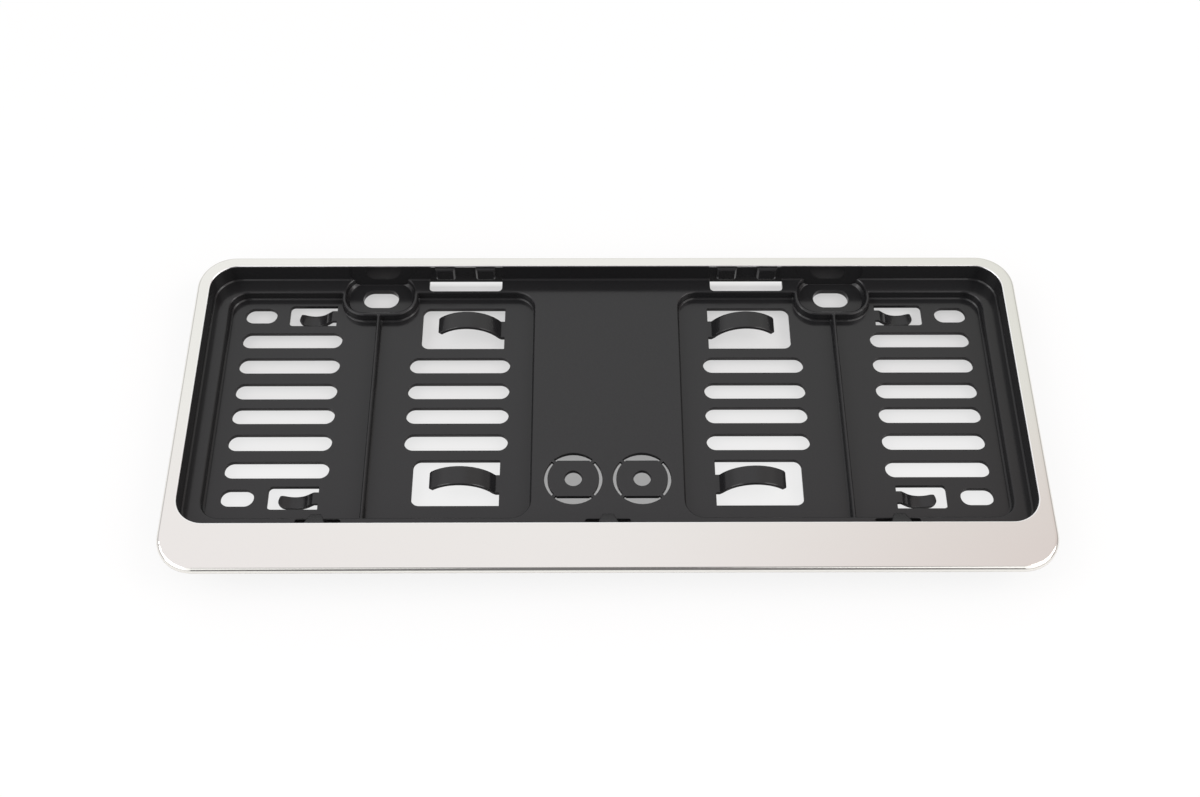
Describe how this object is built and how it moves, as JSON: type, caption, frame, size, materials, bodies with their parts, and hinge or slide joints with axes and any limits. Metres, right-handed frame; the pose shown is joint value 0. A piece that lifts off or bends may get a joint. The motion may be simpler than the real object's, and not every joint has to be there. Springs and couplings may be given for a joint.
{
  "type": "number plate holder",
  "caption": "Black moulded tray that a car number plate snaps into, framed by a polished steel bezel with a wide blank bottom bar.",
  "frame": {"origin": "under the middle of the bezel's outline, on the plane that the anti-rattle tongues rest on", "axes": "+X to the right along the plate's length, +Y towards the plate's top edge, +Z out of the front face"},
  "size_m": [0.3862, 0.1658, 0.0215],
  "materials": {
    "polished_stainless": "mirror polished stainless steel sheet",
    "black_moulding": "fine satin moulded texture"
  },
  "bodies": {
    "root": {"bezel": "polished_stainless", "base_tray": "black_moulding"}
  },
  "joints": []
}
